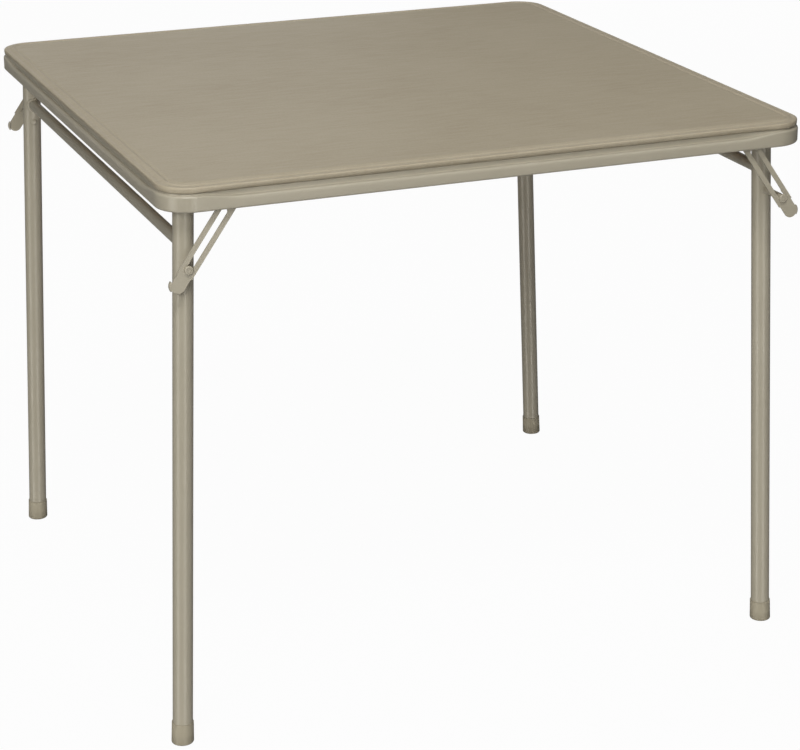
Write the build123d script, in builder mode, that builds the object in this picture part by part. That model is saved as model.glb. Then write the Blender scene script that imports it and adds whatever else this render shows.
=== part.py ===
from build123d import *
from math import atan2, cos, degrees, hypot, radians, sin, tan
import os

# Folding card table: a padded vinyl panel on a roll-formed steel rim, carried by two folding
# leg frames. Each leg is locked open by a slotted brace that runs over a headed stud.
# Origin: centre of the footprint on the floor. X runs along the front edge, Y to the back, Z up.
# The left leg frame is modelled, and the right one is the same frame turned half a turn about Z.

# Overall sizes
table_side = 857.0
table_height = 726.5
corner_radius = 42.0
cut_overrun = 5.0

# Covered panel
cover_thickness = 0.8
pad_thickness = 3.6
board_thickness = 3.8
crown_drop = 1.5
crown_width = 12.0
cover_inset = 1.5
cover_edge_radius = 1.8
board_edge_radius = 1.0
turn_under_width = 14.0

# Roll-formed rim
rim_height = 22.5
rim_sheet = 1.0
rim_top_reach = 18.0
rim_bottom_reach = 7.0
rim_curl_height = 3.0
cove_inset = 5.0
cove_drop = 4.2
shoulder_drop = 7.2
lip_bend_radius = 1.3
cove_radius = 2.2
shoulder_radius = 2.6
rim_bottom_radius = 2.8
curl_radius = 1.4

# Panel screws
screw_spacing = 420.0
screw_shank_diameter = 3.5
screw_head_diameter = 8.0
screw_head_height = 2.2
screw_bite = 2.8
screw_line_inset = 12.5
screw_clearance = 0.1

# Leg tubes
leg_diameter = 25.4
leg_wall = 1.2
leg_splay_x = 28.0
leg_splay_y = 6.0
outer_leg_inset = 33.8
leg_nesting_pitch = 33.2
leg_pivot_inset = 32.9
leg_top_clearance = 1.0

# Leg tips
tip_height = 28.0
tip_top_diameter = 27.6
tip_bottom_diameter = 28.4
tip_floor = 4.0
tip_edge_radius = 2.4
tip_bore_clearance = 0.05

# Crossbars
crossbar_diameter = 15.0
crossbar_wall = 1.0
crossbar_drop = 52.2

# Leg brackets
bracket_sheet = 1.6
ear_sheet = 2.0
ear_radius = 9.0
ear_gap_clearance = 0.5
bracket_margin = 16.0
bracket_rim_gap = 1.0
bracket_edge_overhang = 1.5

# Leg pivot pins
pin_diameter = 6.3
pin_clearance = 0.08
pin_head_diameter = 11.0
pin_head_height = 2.2
pin_head_fillet = 0.9
head_seat_gap = 0.02

# Slotted braces
brace_plane_inset = 12.2
brace_sheet = 1.8
brace_width = 21.0
brace_slot_width = 8.3
brace_slot_start = 17.0
brace_angle = 34.8
brace_pivot_rise = 2.5
brace_shoulder_reach = 8.2
brace_tab_width = 18.0
brace_tab_reach = 22.5
detent_height = 0.5
detent_radius = 2.0
detent_setback = 8.0
lip_arc = 68.0
lip_root = 4.0
lip_reach = 2.2
lip_depth = 3.0
brace_bend_radius = 1.6
brace_side_gap = 0.3

# Brace pivots, headed pins welded to the inside of the rim wall
brace_pin_diameter = 5.0
brace_pin_clearance = 0.08
brace_pin_head_diameter = 9.0
brace_pin_head_height = 1.6
brace_spacer_diameter = 10.0

# Lock studs
stud_distance = 77.5
stud_shank_diameter = 7.2
stud_head_diameter = 11.0
stud_head_height = 2.4
stud_head_fillet = 0.9
stud_ring_diameter = 6.0
stud_ring_depth = 0.5
stud_spacer_diameter = 9.0

# Levels and half sizes that follow from the sizes above
half_side = table_side / 2
panel_thickness = 2 * cover_thickness + pad_thickness + board_thickness
rim_top = table_height - panel_thickness
board_bottom = rim_top + cover_thickness
pad_bottom = board_bottom + board_thickness
pad_top = pad_bottom + pad_thickness
flange_underside = rim_top - rim_sheet
bracket_underside = flange_underside - bracket_sheet
leg_radius = leg_diameter / 2

# Leg frame geometry, for the left frame: the front leg is the outer one
pivot_x = -(half_side - leg_pivot_inset)
pivot_z = bracket_underside - leg_radius - leg_top_clearance
outer_pivot_y = -(half_side - outer_leg_inset)
inner_pivot_y = half_side - outer_leg_inset - leg_nesting_pitch
foot_x = pivot_x - leg_splay_x
splay_rate_x = leg_splay_x / pivot_z
splay_rate_y = leg_splay_y / pivot_z


def leg_axis_point(pivot_y, drop):
    """Point of a left leg's centre line at a drop below its pivot."""
    outward = 1 if pivot_y > 0 else -1
    return Vector(pivot_x - splay_rate_x * drop, pivot_y + outward * splay_rate_y * drop, pivot_z - drop)


# Stud and brace geometry in the plane of the left braces
stud_drop = stud_distance / hypot(1, splay_rate_x)
stud_point = leg_axis_point(outer_pivot_y, stud_drop)
brace_pivot_z = pivot_z + brace_pivot_rise
brace_fall = brace_pivot_z - stud_point.Z
brace_pivot_x = stud_point.X + brace_fall * tan(radians(brace_angle))
brace_run = hypot(stud_point.X - brace_pivot_x, brace_fall)
brace_direction = Vector(stud_point.X - brace_pivot_x, 0, -brace_fall).normalized()
brace_plane = half_side - brace_plane_inset
rim_wall_inside = half_side - rim_sheet

os.makedirs("parts", exist_ok=True)


def save(part, label):
    """Label a finished part and write it to its own file."""
    part.label = label
    export_step(part, f"parts/{label}.step")


# Top board, with its lower edge eased where the cover turns under it
board_side = table_side - 2 * (cover_inset + cover_thickness)
board_corner_radius = corner_radius - cover_inset - cover_thickness
screw_line = half_side - screw_line_inset
screw_places = [
    (side * screw_spacing / 2, edge * screw_line) for side in (-1, 1) for edge in (-1, 1)
]
screw_places += [(y, x) for x, y in screw_places]

with BuildPart() as top_board:
    with BuildSketch(Plane.XY.offset(board_bottom)):
        RectangleRounded(board_side, board_side, board_corner_radius)
    extrude(amount=board_thickness)
    fillet(top_board.edges().group_by(Axis.Z)[0], board_edge_radius)
    with Locations(Plane.XY.offset(board_bottom)):
        with Locations(*screw_places):
            Cylinder(
                screw_shank_diameter / 2 + screw_clearance,
                screw_bite + screw_clearance,
                align=(Align.CENTER, Align.CENTER, Align.MIN),
                mode=Mode.SUBTRACT,
            )
save(top_board.part, "top_board")

# Foam pad, crowned: full thickness inside, sloping down to the edge
pad_edge_thickness = pad_thickness - crown_drop
with BuildPart() as foam_pad:
    with BuildSketch(Plane.XY.offset(pad_bottom)):
        RectangleRounded(board_side, board_side, board_corner_radius)
    extrude(amount=pad_edge_thickness)
    with BuildSketch(Plane.XY.offset(pad_bottom + pad_edge_thickness)):
        RectangleRounded(board_side, board_side, board_corner_radius)
    with BuildSketch(Plane.XY.offset(pad_top)):
        RectangleRounded(
            board_side - 2 * crown_width,
            board_side - 2 * crown_width,
            board_corner_radius - crown_width,
        )
    loft(ruled=True)
save(foam_pad.part, "foam_pad")

# Vinyl cover: skin over the pad, wrapped round the edge and turned under the board
cover_side = table_side - 2 * cover_inset
cover_corner_radius = corner_radius - cover_inset
window_side = cover_side - 2 * turn_under_width
with BuildPart() as vinyl_cover:
    with BuildSketch(Plane.XY.offset(rim_top)):
        RectangleRounded(cover_side, cover_side, cover_corner_radius)
    extrude(amount=panel_thickness - crown_drop)
    fillet(vinyl_cover.edges().group_by(Axis.Z)[0], cover_edge_radius)
    with BuildSketch(Plane.XY.offset(table_height - crown_drop)):
        RectangleRounded(cover_side, cover_side, cover_corner_radius)
    with BuildSketch(Plane.XY.offset(table_height)):
        RectangleRounded(
            cover_side - 2 * crown_width,
            cover_side - 2 * crown_width,
            cover_corner_radius - crown_width,
        )
    loft(ruled=True)
    fillet(vinyl_cover.edges().group_by(Axis.Z)[-3], cover_edge_radius)
    with BuildSketch(Plane.XY.offset(board_bottom)):
        RectangleRounded(board_side, board_side, board_corner_radius)
    extrude(amount=board_thickness, mode=Mode.SUBTRACT)
    add(foam_pad.part, mode=Mode.SUBTRACT)
    with BuildSketch(Plane.XY.offset(rim_top - cut_overrun)):
        RectangleRounded(window_side, window_side, cover_corner_radius - turn_under_width)
    extrude(amount=cut_overrun + 2 * cover_thickness, mode=Mode.SUBTRACT)
    with Locations(Plane.XY.offset(rim_top)):
        with Locations(*screw_places):
            Cylinder(
                screw_shank_diameter / 2 + screw_clearance,
                2 * cover_thickness,
                mode=Mode.SUBTRACT,
            )
save(vinyl_cover.part, "vinyl_cover")

# Rim: one rolled section swept round half the outline and mirrored. The section goes from
# the inner end of the top flange over the cove and shoulder to the curl under the edge.
rim_section_plane = Plane(origin=(0, -half_side, rim_top), x_dir=(0, -1, 0), z_dir=(-1, 0, 0))
with BuildPart() as rim_frame:
    with BuildLine() as rim_path:
        FilletPolyline(
            (0, -half_side, rim_top),
            (half_side, -half_side, rim_top),
            (half_side, half_side, rim_top),
            (0, half_side, rim_top),
            radius=corner_radius,
        )
    with BuildSketch(rim_section_plane) as rim_section:
        with BuildLine():
            FilletPolyline(
                (-rim_top_reach, 0),
                (-cove_inset, 0),
                (-cove_inset, -cove_drop),
                (0, -shoulder_drop),
                (0, -rim_height),
                (-rim_bottom_reach, -rim_height),
                (-rim_bottom_reach, -rim_height + rim_curl_height),
                radius=[lip_bend_radius, cove_radius, shoulder_radius, rim_bottom_radius, curl_radius],
            )
            offset(amount=rim_sheet, side=Side.LEFT)
        make_face()
    sweep(path=rim_path.wire())
    mirror(about=Plane.YZ)
    with Locations(Plane.XY.offset(rim_top - rim_sheet / 2)):
        with Locations(*screw_places):
            Cylinder(screw_shank_diameter / 2 + screw_clearance, 2 * rim_sheet, mode=Mode.SUBTRACT)
save(rim_frame.part, "rim_frame")

# Panel screws: pan heads under the top flange, shanks through the cover into the board
screw_length = rim_sheet + cover_thickness + screw_bite
with BuildPart() as panel_screws:
    with Locations(Plane.XY.offset(flange_underside)):
        with Locations(*screw_places):
            Cylinder(
                screw_shank_diameter / 2,
                screw_length,
                align=(Align.CENTER, Align.CENTER, Align.MIN),
            )
            Cylinder(
                screw_head_diameter / 2,
                screw_head_height,
                align=(Align.CENTER, Align.CENTER, Align.MAX),
            )
    fillet(
        panel_screws.edges().filter_by(GeomType.CIRCLE).group_by(Axis.Z)[0],
        screw_head_height / 2,
    )
save(panel_screws.part, "panel_screws")


# Leg frame
def leg_plane(pivot_y):
    """Plane square to a left leg at its foot, with its normal up the leg."""
    foot = leg_axis_point(pivot_y, pivot_z)
    return Plane(origin=foot, z_dir=leg_axis_point(pivot_y, 0) - foot)


def leg_cylinder(pivot_y, radius):
    """Solid cylinder on a left leg's centre line, past both of its ends."""
    with BuildPart() as rod:
        with BuildSketch(leg_plane(pivot_y)):
            Circle(radius)
        extrude(amount=pivot_z + leg_diameter)
    return rod.part


def leg_tube(pivot_y):
    """Leg tube from inside its tip to a rounded end over the pivot hole."""
    pivot = leg_axis_point(pivot_y, 0)
    with BuildPart() as tube:
        with BuildSketch(leg_plane(pivot_y).offset(tip_floor)):
            Circle(leg_radius)
            Circle(leg_radius - leg_wall, mode=Mode.SUBTRACT)
        extrude(amount=pivot_z + leg_diameter)
        with BuildSketch(Plane(origin=pivot, x_dir=(1, 0, 0), z_dir=(0, -1, 0))):
            Rectangle(4 * leg_radius, 4 * leg_radius, align=(Align.CENTER, Align.MIN))
            Circle(leg_radius, mode=Mode.SUBTRACT)
        extrude(amount=leg_diameter, both=True, mode=Mode.SUBTRACT)
        with BuildSketch(Plane(origin=pivot, x_dir=(1, 0, 0), z_dir=(0, -1, 0))):
            Circle(pin_diameter / 2 + pin_clearance)
        extrude(amount=leg_diameter, both=True, mode=Mode.SUBTRACT)
    return tube.part


def leg_tip(pivot_y):
    """Tapered boot on a leg's end, cut flat where it stands on the floor."""
    with BuildPart() as tip:
        with BuildSketch(leg_plane(pivot_y).offset(-tip_floor)):
            Circle(tip_bottom_diameter / 2)
        with BuildSketch(leg_plane(pivot_y).offset(tip_height)):
            Circle(tip_top_diameter / 2)
        loft(ruled=True)
        with BuildSketch(leg_plane(pivot_y).offset(tip_floor)):
            Circle(leg_radius + tip_bore_clearance)
        extrude(amount=tip_height, mode=Mode.SUBTRACT)
        split(bisect_by=Plane.XY, keep=Keep.TOP)
        fillet(tip.edges().group_by(Axis.Z)[0], tip_edge_radius)
    return tip.part


def crossbar():
    """Crossbar tube between the two left legs, coped to both."""
    front = leg_axis_point(outer_pivot_y, crossbar_drop)
    rear = leg_axis_point(inner_pivot_y, crossbar_drop)
    with BuildPart() as bar:
        with BuildSketch(Plane(origin=front, z_dir=rear - front)):
            Circle(crossbar_diameter / 2)
            Circle(crossbar_diameter / 2 - crossbar_wall, mode=Mode.SUBTRACT)
        extrude(amount=(rear - front).length)
        for pivot_y in (outer_pivot_y, inner_pivot_y):
            add(leg_cylinder(pivot_y, leg_radius), mode=Mode.SUBTRACT)
    return bar.part


def stud_spacer(pivot_y):
    """Round spacer from the leg's outboard side to just inside the brace."""
    outward = 1 if pivot_y > 0 else -1
    root = leg_axis_point(pivot_y, stud_drop)
    length = brace_plane - brace_side_gap - abs(root.Y)
    with BuildPart() as spacer:
        with BuildSketch(Plane(origin=root, x_dir=(1, 0, 0), z_dir=(0, outward, 0))):
            Circle(stud_spacer_diameter / 2)
        extrude(amount=length)
        add(leg_cylinder(pivot_y, leg_radius), mode=Mode.SUBTRACT)
    return spacer.part


def outboard_plane(x, z, distance, end):
    """Plane at a distance from the table's middle, facing out to the front (-1) or back (1)."""
    return Plane(origin=(x, end * distance, z), x_dir=(1, 0, 0), z_dir=(0, end, 0))


def lock_stud(end):
    """Headed stud that rides in the brace's slot, with a ring pressed into its head."""
    seat = outboard_plane(stud_point.X, stud_point.Z, brace_plane, end)
    shank_length = brace_sheet + brace_side_gap
    with BuildPart() as stud:
        with BuildSketch(seat):
            Circle(stud_shank_diameter / 2)
        extrude(amount=shank_length)
        with BuildSketch(seat.offset(shank_length)):
            Circle(stud_head_diameter / 2)
        extrude(amount=stud_head_height)
        outer_edges = stud.edges().filter_by(GeomType.CIRCLE).sort_by(Axis.Y)
        fillet(outer_edges[0] if end < 0 else outer_edges[-1], stud_head_fillet)
        with BuildSketch(seat.offset(shank_length + stud_head_height - stud_ring_depth)):
            Circle(stud_ring_diameter / 2)
            Circle(stud_ring_diameter / 2 - stud_ring_depth, mode=Mode.SUBTRACT)
        extrude(amount=stud_ring_depth, mode=Mode.SUBTRACT)
    return stud.part


def brace_link(end):
    """Slotted brace: eye at the rim, long slot with a snap detent, rounded finger tab with a lip
    turned along the outer side of its end."""
    flat = Plane(
        origin=(brace_pivot_x, end * brace_plane, brace_pivot_z),
        x_dir=brace_direction,
        z_dir=(0, end, 0),
    )
    outer = 1 if flat.y_dir.Z > 0 else -1
    shoulder = brace_run + brace_shoulder_reach
    tab_centre = brace_run + brace_tab_reach
    slot_length = brace_run - brace_slot_start
    lip_edge = brace_tab_width / 2 + lip_reach
    lip_strip = lip_root + lip_reach
    with BuildPart() as brace:
        with BuildSketch(flat):
            Circle(brace_width / 2)
            Rectangle(shoulder, brace_width, align=(Align.MIN, Align.CENTER))
            Rectangle(tab_centre, brace_tab_width, align=(Align.MIN, Align.CENTER))
            with Locations((tab_centre, 0)):
                Circle(brace_tab_width / 2)
            with Locations(((brace_slot_start + brace_run) / 2, 0)):
                SlotCenterToCenter(slot_length, brace_slot_width, mode=Mode.SUBTRACT)
            Circle(brace_pin_diameter / 2 + brace_pin_clearance, mode=Mode.SUBTRACT)
        extrude(amount=brace_sheet)
        with BuildSketch(flat):
            with Locations((brace_run - detent_setback, outer * brace_slot_width / 2)):
                Circle(detent_radius)
            with Locations((brace_run - detent_setback, -outer * detent_height)):
                Rectangle(4 * detent_radius, brace_slot_width, mode=Mode.SUBTRACT)
        extrude(amount=brace_sheet)
        station = Plane(
            origin=flat.from_local_coords(Vector(tab_centre, 0, 0)),
            x_dir=flat.y_dir * outer,
            z_dir=brace_direction,
        )
        with BuildSketch(station) as lip:
            with Locations((lip_edge - lip_strip / 2, outer * brace_sheet / 2)):
                Rectangle(lip_strip, brace_sheet)
            with Locations((lip_edge - brace_sheet / 2, outer * (brace_sheet - lip_depth) / 2)):
                Rectangle(brace_sheet, brace_sheet + lip_depth)
            bend_corner = lip.vertices().group_by(Axis.X)[-1].sort_by(Axis.Y)
            fillet(bend_corner[-1] if outer > 0 else bend_corner[0], brace_bend_radius)
        revolve(axis=Axis(station.origin, -station.y_dir), revolution_arc=lip_arc)
    return brace.part


def leg_bracket(pivot_y):
    """Corner plate under the rim's top flange with two ears that hold the leg's top."""
    end = 1 if pivot_y > 0 else -1
    plate_edge = half_side - cove_inset - rim_sheet - bracket_rim_gap
    ear_offset = leg_radius + ear_gap_clearance
    inner_x = pivot_x + bracket_margin
    inner_y = pivot_y - end * (ear_offset + ear_sheet + bracket_edge_overhang)
    with BuildPart() as bracket:
        with BuildSketch(Plane.XY.offset(bracket_underside)):
            RectangleRounded(2 * plate_edge, 2 * plate_edge, corner_radius - half_side + plate_edge)
            with Locations((inner_x - half_side / 2, inner_y + end * half_side / 2)):
                Rectangle(half_side, half_side, mode=Mode.INTERSECT)
        extrude(amount=bracket_sheet)
        for offset_y in (-ear_offset - ear_sheet, ear_offset):
            with BuildSketch(Plane(origin=(pivot_x, pivot_y + offset_y, pivot_z), x_dir=(1, 0, 0), z_dir=(0, -1, 0))):
                Circle(ear_radius)
                Rectangle(
                    2 * ear_radius,
                    bracket_underside - pivot_z,
                    align=(Align.CENTER, Align.MIN),
                )
                Circle(pin_diameter / 2 + pin_clearance, mode=Mode.SUBTRACT)
            extrude(amount=-ear_sheet)
    return bracket.part


def leg_pivot_pin(pivot_y):
    """Headed pin through both ears and the leg's top."""
    half_grip = leg_radius + ear_gap_clearance + ear_sheet + head_seat_gap
    middle = Plane(origin=(pivot_x, pivot_y, pivot_z), x_dir=(1, 0, 0), z_dir=(0, -1, 0))
    with BuildPart() as pin:
        with BuildSketch(middle):
            Circle(pin_diameter / 2)
        extrude(amount=half_grip, both=True)
        with BuildSketch(middle.offset(half_grip)):
            Circle(pin_head_diameter / 2)
        extrude(amount=pin_head_height)
        with BuildSketch(middle.offset(-half_grip)):
            Circle(pin_head_diameter / 2)
        extrude(amount=-pin_head_height)
        rims = pin.edges().filter_by(GeomType.CIRCLE).sort_by(Axis.Y)
        fillet([rims[0], rims[-1]], pin_head_fillet)
    return pin.part


def brace_pivot(end):
    """Headed pin on the inside of the rim wall: spacer, shank through the brace, domed head."""
    seat = outboard_plane(brace_pivot_x, brace_pivot_z, brace_plane, end)
    shank_end = brace_sheet + brace_side_gap
    wall = rim_wall_inside - brace_plane
    head = brace_side_gap + brace_pin_head_height
    with BuildPart() as pin:
        with BuildSketch(seat.offset(-head)):
            Circle(brace_pin_head_diameter / 2)
        extrude(amount=brace_pin_head_height)
        rims = pin.edges().filter_by(GeomType.CIRCLE).sort_by(Axis.Y)
        fillet(rims[-1] if end < 0 else rims[0], brace_pin_head_height / 2)
        with BuildSketch(seat.offset(-brace_side_gap)):
            Circle(brace_pin_diameter / 2)
        extrude(amount=brace_side_gap + shank_end)
        with BuildSketch(seat.offset(shank_end)):
            Circle(brace_spacer_diameter / 2)
        extrude(amount=wall - shank_end)
    return pin.part


def half_turn(part):
    """Copy of a left part turned half a turn about the table's middle."""
    with BuildPart() as turned:
        add(part, rotation=(0, 0, 180))
    return turned.part


# Every piece of the left frame and its corners, with the name of its half-turned twin
outer, inner = outer_pivot_y, inner_pivot_y
paired_parts = [
    (leg_tube(outer), "leg_front_left", "leg_rear_right"),
    (leg_tube(inner), "leg_rear_left", "leg_front_right"),
    (leg_tip(outer), "leg_tip_front_left", "leg_tip_rear_right"),
    (leg_tip(inner), "leg_tip_rear_left", "leg_tip_front_right"),
    (crossbar(), "crossbar_left", "crossbar_right"),
    (stud_spacer(outer), "stud_spacer_front_left", "stud_spacer_rear_right"),
    (stud_spacer(inner), "stud_spacer_rear_left", "stud_spacer_front_right"),
    (lock_stud(-1), "lock_stud_front_left", "lock_stud_rear_right"),
    (lock_stud(1), "lock_stud_rear_left", "lock_stud_front_right"),
    (brace_link(-1), "brace_link_front_left", "brace_link_rear_right"),
    (brace_link(1), "brace_link_rear_left", "brace_link_front_right"),
    (brace_pivot(-1), "brace_pivot_front_left", "brace_pivot_rear_right"),
    (brace_pivot(1), "brace_pivot_rear_left", "brace_pivot_front_right"),
    (leg_bracket(outer), "leg_bracket_front_left", "leg_bracket_rear_right"),
    (leg_bracket(inner), "leg_bracket_rear_left", "leg_bracket_front_right"),
    (leg_pivot_pin(outer), "leg_pivot_pin_front_left", "leg_pivot_pin_rear_right"),
    (leg_pivot_pin(inner), "leg_pivot_pin_rear_left", "leg_pivot_pin_front_right"),
]
for left_part, left_name, right_name in paired_parts:
    right_part = half_turn(left_part)
    save(left_part, left_name)
    save(right_part, right_name)

# Joint values, printed for the record
leg_tilt = degrees(atan2(splay_rate_x, 1))
print(f"leg pivot ({pivot_x:.3f}, y, {pivot_z:.3f}), leg tilt {leg_tilt:.3f} deg")
print(f"brace pivot ({brace_pivot_x:.3f}, y, {brace_pivot_z:.3f})")
print(f"stud ({stud_point.X:.3f}, y, {stud_point.Z:.3f}), brace run {brace_run:.3f}")
for fold in (0, 30, 60, 90, 92):
    turn = radians(leg_tilt - fold)
    stud_x = -pivot_x + stud_distance * sin(turn)
    stud_z = pivot_z - stud_distance * cos(turn)
    reach = hypot(stud_x + brace_pivot_x, brace_pivot_z - stud_z)
    swing = brace_angle - degrees(atan2(stud_x + brace_pivot_x, brace_pivot_z - stud_z))
    print(f"fold {fold}: brace swing {swing:.3f} deg, stud travel {brace_run - reach:.3f} mm")
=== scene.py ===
"""Looks of a folding card table: padded vinyl top, enamelled steel rim and leg frames, moulded tips."""

from __future__ import annotations

import logging
import math
from collections.abc import Iterable
from dataclasses import dataclass, field
from enum import Enum
from typing import Any

import bmesh
import bpy
from mathutils import Matrix, Vector, noise

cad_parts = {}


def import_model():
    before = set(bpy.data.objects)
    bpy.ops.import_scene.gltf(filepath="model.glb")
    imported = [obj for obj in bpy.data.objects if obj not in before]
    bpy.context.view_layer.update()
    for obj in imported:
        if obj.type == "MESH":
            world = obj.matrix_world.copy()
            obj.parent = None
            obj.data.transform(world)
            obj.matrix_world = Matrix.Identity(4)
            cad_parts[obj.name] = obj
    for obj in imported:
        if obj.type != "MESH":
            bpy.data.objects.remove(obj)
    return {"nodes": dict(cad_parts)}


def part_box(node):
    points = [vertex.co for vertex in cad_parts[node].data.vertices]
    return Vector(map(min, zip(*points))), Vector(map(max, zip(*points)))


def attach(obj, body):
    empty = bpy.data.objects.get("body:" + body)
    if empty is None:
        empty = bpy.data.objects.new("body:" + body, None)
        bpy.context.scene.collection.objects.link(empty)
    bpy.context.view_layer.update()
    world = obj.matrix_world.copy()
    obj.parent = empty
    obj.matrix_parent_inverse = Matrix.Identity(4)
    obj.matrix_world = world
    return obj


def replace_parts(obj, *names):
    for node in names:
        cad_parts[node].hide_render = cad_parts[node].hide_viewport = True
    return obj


LOG = logging.getLogger("card_table")
MM = 0.001
MERGE = 1e-6  # Vertices nearer than this are one, in metres.
TUBE_RADIUS = 12.7 * MM  # The leg tubes are 1 in across.
WHITE = (1.0, 1.0, 1.0, 1.0)

# Section of the vinyl's border, as shares of the seal's inset and of the crown's drop: a low ridge at
# the edge, the heat-sealed line, a second ridge, a fine crease and the flat of the top.
BORDER_SHARES = (
    (0.14, 0.26), (0.22, 0.30), (0.32, 0.12), (0.44, 0.10), (0.56, 0.62), (0.68, 1.16), (0.78, 1.30),
    (0.88, 1.00), (0.96, 0.34), (1.03, 0.30), (1.12, 0.72), (1.26, 0.98), (1.55, 1.02),
)


class Corner(Enum):
    """The four legs, by their place in the node names."""

    FRONT_LEFT = "front_left"
    REAR_LEFT = "rear_left"
    REAR_RIGHT = "rear_right"
    FRONT_RIGHT = "front_right"

    @property
    def side(self) -> float:
        """-1 on the left of the table, 1 on its right."""
        return -1.0 if self.value.endswith("left") else 1.0

    @property
    def end(self) -> float:
        """-1 at the front of the table, 1 at its back."""
        return -1.0 if self.value.startswith("front") else 1.0

    @property
    def frame_body(self) -> str:
        """Name of the leg frame that this leg belongs to."""
        return "left_leg_frame" if self.side < 0 else "right_leg_frame"


def middle(node: str) -> Vector:
    """Middle of a CAD node's box at rest."""
    low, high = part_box(node)
    return (low + high) / 2


def linear_colour(hex_code: str) -> tuple[float, float, float, float]:
    """Turns an sRGB hex colour to linear.

    Args:
        hex_code: Colour such as "#9D9482".

    Returns:
        Linear red, green, blue and an alpha of 1.
    """
    parts = [int(hex_code[i : i + 2], 16) / 255 for i in (1, 3, 5)]
    red, green, blue = (c / 12.92 if c <= 0.04045 else ((c + 0.055) / 1.055) ** 2.4 for c in parts)
    return red, green, blue, 1.0


def per_mm(size_mm: float) -> float:
    """Scale of a pattern that repeats over a real size in millimetres."""
    return 1 / (size_mm * MM)


def span(side: str, ends: tuple[float, float]) -> dict[str, float]:
    """Inputs of a Map Range node for its side "From" or "To"."""
    return {f"{side} Min": ends[0], f"{side} Max": ends[1]}


def add_node(
    tree: bpy.types.NodeTree, kind: str, inputs: dict[Any, Any] | None = None, **settings: Any
) -> bpy.types.Node:
    """Adds one node with its settings and links.

    A Mix node of colours has its two colours in the inputs 6 and 7, and their mix in the output 2.

    Args:
        tree: Node tree that gets the node.
        kind: Blender's name of the node type.
        inputs: Value or source socket for each input, by name or index.
        **settings: Properties of the node.

    Returns:
        The new node.
    """
    made = tree.nodes.new(kind)
    for name, value in settings.items():
        setattr(made, name, value)
    for name, value in (inputs or {}).items():
        if isinstance(value, bpy.types.NodeSocket):
            tree.links.new(value, made.inputs[name])
        else:
            made.inputs[name].default_value = value
    return made


def new_material(name: str) -> tuple[bpy.types.Material, bpy.types.NodeTree, bpy.types.NodeSocket]:
    """Starts a material.

    Args:
        name: Name of the material.

    Returns:
        The material, its empty node tree and a socket with Object coordinates.
    """
    material = bpy.data.materials.new(name)
    material.use_nodes = True
    tree = material.node_tree
    tree.nodes.clear()
    return material, tree, add_node(tree, "ShaderNodeTexCoord").outputs["Object"]


def finish_material(
    tree: bpy.types.NodeTree,
    pattern: bpy.types.NodeSocket,
    colours: tuple[str, str],
    relief: dict[str, Any],
    inputs: dict[str, Any],
    invert: bool = False,
) -> None:
    """Ends a material: two colours mixed by a pattern, a relief and the shader.

    Args:
        tree: Node tree of the material.
        pattern: The pattern that mixes the colours.
        colours: Hex colours where the pattern is 0 and where it is 1.
        relief: Inputs of the bump.
        inputs: The shader's other inputs.
        invert: True where high values of the relief are its valleys.
    """
    low, high = (linear_colour(colour) for colour in colours)
    mix = add_node(tree, "ShaderNodeMix", {"Factor": pattern, 6: low, 7: high}, data_type="RGBA")
    bump = add_node(tree, "ShaderNodeBump", relief, invert=invert)
    sockets = {"Base Color": mix.outputs[2], "Normal": bump.outputs[0], **inputs}
    shader = add_node(tree, "ShaderNodeBsdfPrincipled", sockets)
    add_node(tree, "ShaderNodeOutputMaterial", {"Surface": shader.outputs[0]})


@dataclass(frozen=True)
class BakedEnamel:
    """Baked enamel on mild steel: an even half-gloss skin with a faint orange peel from the spray gun."""

    name: str = "baked_enamel_on_steel"
    colour: str = "#A29B8A"
    cloud_colour: str = "#999280"
    cloud_mm: float = 70.0
    cloud_range: tuple[float, float] = (0.3, 0.7)
    peel_mm: float = 2.2
    peel_depth_mm: float = 0.05
    peel_strength: float = 0.35
    roughness_range: tuple[float, float] = (0.30, 0.36)
    ior: float = 1.5

    def material(self) -> bpy.types.Material:
        """Makes the enamel's material.

        Returns:
            The material.
        """
        material, tree, place = new_material(self.name)
        clouds = add_node(
            tree, "ShaderNodeTexNoise", {"Vector": place, "Scale": per_mm(self.cloud_mm), "Detail": 3.0}
        ).outputs["Fac"]
        peel = add_node(
            tree, "ShaderNodeTexNoise", {"Vector": place, "Scale": per_mm(self.peel_mm), "Detail": 1.0}
        ).outputs["Fac"]
        gloss = add_node(
            tree,
            "ShaderNodeMapRange",
            {"Value": clouds, **span("From", self.cloud_range), **span("To", self.roughness_range)},
        ).outputs[0]
        colours = (self.colour, self.cloud_colour)
        relief = {"Height": peel, "Strength": self.peel_strength, "Distance": self.peel_depth_mm * MM}
        finish_material(tree, clouds, colours, relief, {"Roughness": gloss, "IOR": self.ior})
        return material


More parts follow.
